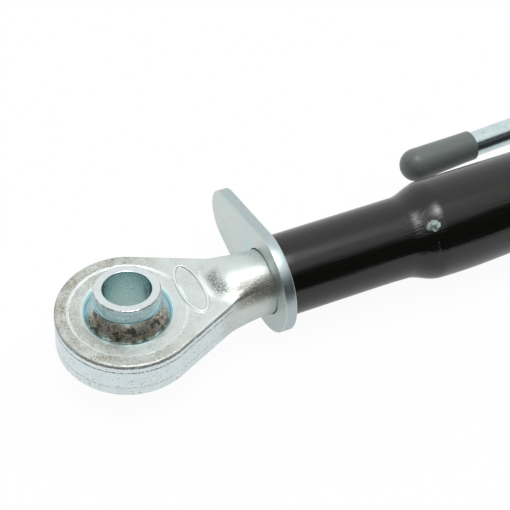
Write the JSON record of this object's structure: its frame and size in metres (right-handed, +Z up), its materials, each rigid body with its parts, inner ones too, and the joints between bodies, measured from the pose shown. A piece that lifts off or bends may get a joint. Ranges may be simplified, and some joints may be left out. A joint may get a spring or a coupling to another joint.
{
  "type": "tractor top link",
  "caption": "Length-adjustable tractor top link: swaged barrel between two ball-eye screws, with a lock plate and a folding turning handle.",
  "frame": {"origin": "centre of the bounding box at its base: under the middle of the barrel, on the plane through the lock plate's lowest point", "axes": "+X along the link from the front (lock-plate) eye to the rear eye, +Z up along the eyes' normal, +Y to the side of the lock plate's tab and the folded handle"},
  "size_m": [0.6764, 0.1096, 0.058],
  "materials": {
    "black_paint": "gloss black enamel with a hazy orange-peel surface",
    "zinc_forging": "clear zinc over a scaled forging, mottled beige and grey",
    "bright_zinc": "bright blue-white zinc on machined steel",
    "plate_zinc": "satin pale green-grey zinc on rolled plate",
    "grey_vinyl": "soft matte dipped vinyl",
    "white_nylon": "plain natural nylon"
  },
  "bodies": {
    "barrel": {"barrel": "black_paint", "handle_bracket": "black_paint", "bracket_weld_upper": "black_paint", "bracket_weld_lower": "black_paint", "pivot_bolt": "bright_zinc", "bolt_washer": "bright_zinc", "nut_washer": "bright_zinc", "pivot_nut": "bright_zinc", "nut_insert": "white_nylon"},
    "lock_plate": {"lock_plate": "plate_zinc"},
    "front_screw": {"front_eye_screw": "zinc_forging"},
    "rear_screw": {"rear_eye_screw": "zinc_forging"},
    "front_ball": {"front_ball": "bright_zinc"},
    "rear_ball": {"rear_ball": "bright_zinc"},
    "handle": {"handle_bar": "bright_zinc", "handle_cap": "grey_vinyl"}
  },
  "joints": [
    {"name": "barrel_turn", "type": "hinge", "parent": "barrel", "child": "lock_plate", "pos_m": [-0.2225, -0.01687, 0.029], "axis": [1, 0, 0], "continuous": true},
    {"name": "front_extension", "type": "slide", "parent": "lock_plate", "child": "front_screw", "axis": [-1, 0, 0], "range_m": [0, 0.105]},
    {"name": "rear_extension", "type": "slide", "parent": "barrel", "child": "rear_screw", "axis": [1, 0, 0], "range_m": [0, 0.105]},
    {"name": "front_ball_tilt", "type": "hinge", "parent": "front_screw", "child": "front_ball", "pos_m": [-0.30022, -0.01687, 0.029], "axis": [1, 0, 0], "range_deg": [-9.25, 20.75]},
    {"name": "rear_ball_tilt", "type": "hinge", "parent": "rear_screw", "child": "rear_ball", "pos_m": [0.30022, -0.01687, 0.029], "axis": [0, 1, 0], "range_deg": [-15, 15]},
    {"name": "handle_fold", "type": "hinge", "parent": "barrel", "child": "handle", "pos_m": [0.0803, 0.04466, 0.02437], "axis": [0, -0.075, -0.9972], "range_deg": [-3.5, 180]}
  ],
  "couplings": [
    {"joint": "rear_extension", "follows": "front_extension", "ratio": 1}
  ]
}
